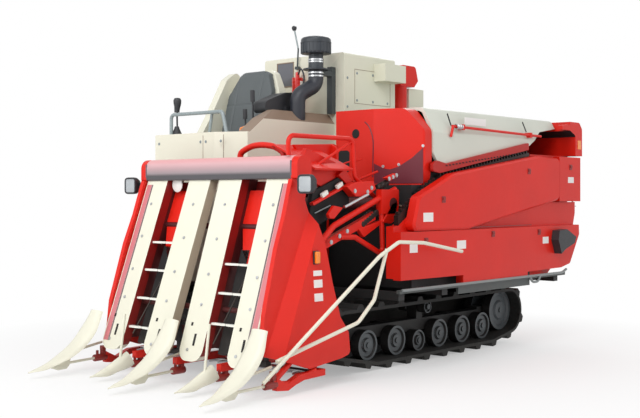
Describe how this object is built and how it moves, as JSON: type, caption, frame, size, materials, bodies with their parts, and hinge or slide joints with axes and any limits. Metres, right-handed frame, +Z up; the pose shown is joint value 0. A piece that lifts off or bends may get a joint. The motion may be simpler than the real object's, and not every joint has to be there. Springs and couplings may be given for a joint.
{
  "type": "rubber-tracked head-feeding rice combine harvester",
  "caption": "Four-row head-feeding rice combine harvester on rubber crawlers, with a lifting header, side threshing drum, grain tank and operator seat.",
  "frame": {"origin": "middle of the bounding box on the ground under the crawlers", "axes": "+X to the machine's left, -Y to its front, +Z up"},
  "size_m": [1.896, 3.878, 2.3027],
  "materials": {
    "red_paint": "gloss",
    "cream_paint": "satin",
    "black_paint": "satin",
    "grey_paint": "satin",
    "chain_steel": "satin",
    "bright_steel": "satin",
    "track_rubber": "matte",
    "hose_rubber": "matte",
    "black_plastic": "matte",
    "white_plastic": "satin",
    "seat_fabric": "matte",
    "amber": "gloss"
  },
  "bodies": {
    "machine": {"air_hose": "hose_rubber", "bagging_spouts": "cream_paint", "beacon": "amber", "chassis_frame": "black_paint", "cleaner_post": "grey_paint", "console": "cream_paint", "cross_channels": "grey_paint", "dust_outlet": "black_plastic", "engine": "black_paint", "extinguisher": "red_paint", "feed_chain": "chain_steel", "final_drive": "black_paint", "grain_elevator": "red_paint", "grain_tank": "cream_paint", "handrail": "grey_paint", "header_stands": "black_paint", "levers": "black_plastic", "lower_side_panel": "red_paint", "operator_deck": "black_paint", "pre_cleaner": "black_plastic", "rear_case": "red_paint", "rear_flank": "red_paint", "rollers": "grey_paint", "side_rail": "grey_paint", "straw_hood": "red_paint", "tank_base": "red_paint", "thresher_case": "black_paint", "thresher_front": "red_paint", "threshing_chamber": "black_paint", "track_frames": "black_paint", "track_left": "track_rubber", "track_right": "track_rubber", "upper_side_cover": "red_paint"},
    "header": {"header_frame": "red_paint", "divider_arms": "red_paint", "throat_plates": "red_paint", "raking_cases": "cream_paint", "raking_tines": "white_plastic", "top_bar": "red_paint", "side_cover_left": "red_paint", "side_cover_right": "red_paint", "headlights": "black_plastic", "dividers": "cream_paint", "cutter_bar": "bright_steel", "star_wheels": "black_plastic", "conveyor": "red_paint", "upper_pipe": "red_paint", "crop_guide": "cream_paint"},
    "lift_barrel_body": {"lift_barrel": "black_paint"},
    "lift_rod_body": {"lift_rod": "bright_steel"},
    "cover_body": {"thresher_cover": "cream_paint", "cover_rod": "red_paint", "clamp_rail": "red_paint"},
    "drum_body": {"threshing_drum": "chain_steel"},
    "rear_door_body": {"rear_side_door": "red_paint"},
    "screen_body": {"radiator_screen": "red_paint"},
    "platform_body": {"bag_platform": "black_paint"},
    "seat_body": {"engine_cover": "black_paint", "seat_shell": "cream_paint", "seat_cushions": "seat_fabric"}
  },
  "joints": [
    {"name": "header_lift", "type": "hinge", "parent": "machine", "child": "header", "pos_m": [0, -0.25, 1.03], "axis": [-1, 0, 0], "range_deg": [0, 20]},
    {"name": "lift_barrel_swing", "type": "hinge", "parent": "machine", "child": "lift_barrel_body", "pos_m": [0.1, -0.46, 0.5], "axis": [-1, 0, 0], "range_deg": [0, 12.35]},
    {"name": "lift_rod_slide", "type": "slide", "parent": "lift_barrel_body", "child": "lift_rod_body", "axis": [0, -0.8412, 0.5408], "range_m": [0, 0.1916]},
    {"name": "cover_open", "type": "hinge", "parent": "machine", "child": "cover_body", "pos_m": [0.048, 0.55, 1.628], "axis": [0, -1, 0], "range_deg": [0, 50]},
    {"name": "drum_spin", "type": "hinge", "parent": "machine", "child": "drum_body", "pos_m": [0.4, 0.517, 1.36], "axis": [0, 1, 0], "continuous": true},
    {"name": "rear_door_swing", "type": "hinge", "parent": "machine", "child": "rear_door_body", "pos_m": [0.812, 1.94, 1.206], "axis": [0, 0, 1], "range_deg": [0, 100]},
    {"name": "screen_swing", "type": "hinge", "parent": "machine", "child": "screen_body", "pos_m": [-0.884, 0.106, 0.7975], "axis": [0, 0, -1], "range_deg": [0, 110]},
    {"name": "platform_fold", "type": "hinge", "parent": "machine", "child": "platform_body", "pos_m": [-0.882, 0.55, 0.52], "axis": [0, -1, 0], "range_deg": [0, 90]},
    {"name": "seat_tilt", "type": "hinge", "parent": "machine", "child": "seat_body", "pos_m": [-0.596, -0.352, 1.092], "axis": [1, 0, 0], "range_deg": [0, 22]}
  ],
  "couplings": [
    {"joint": "lift_barrel_swing", "follows": "header_lift", "ratio": 0.60758},
    {"joint": "lift_rod_slide", "follows": "header_lift", "m_per_rad": 0.54312}
  ]
}
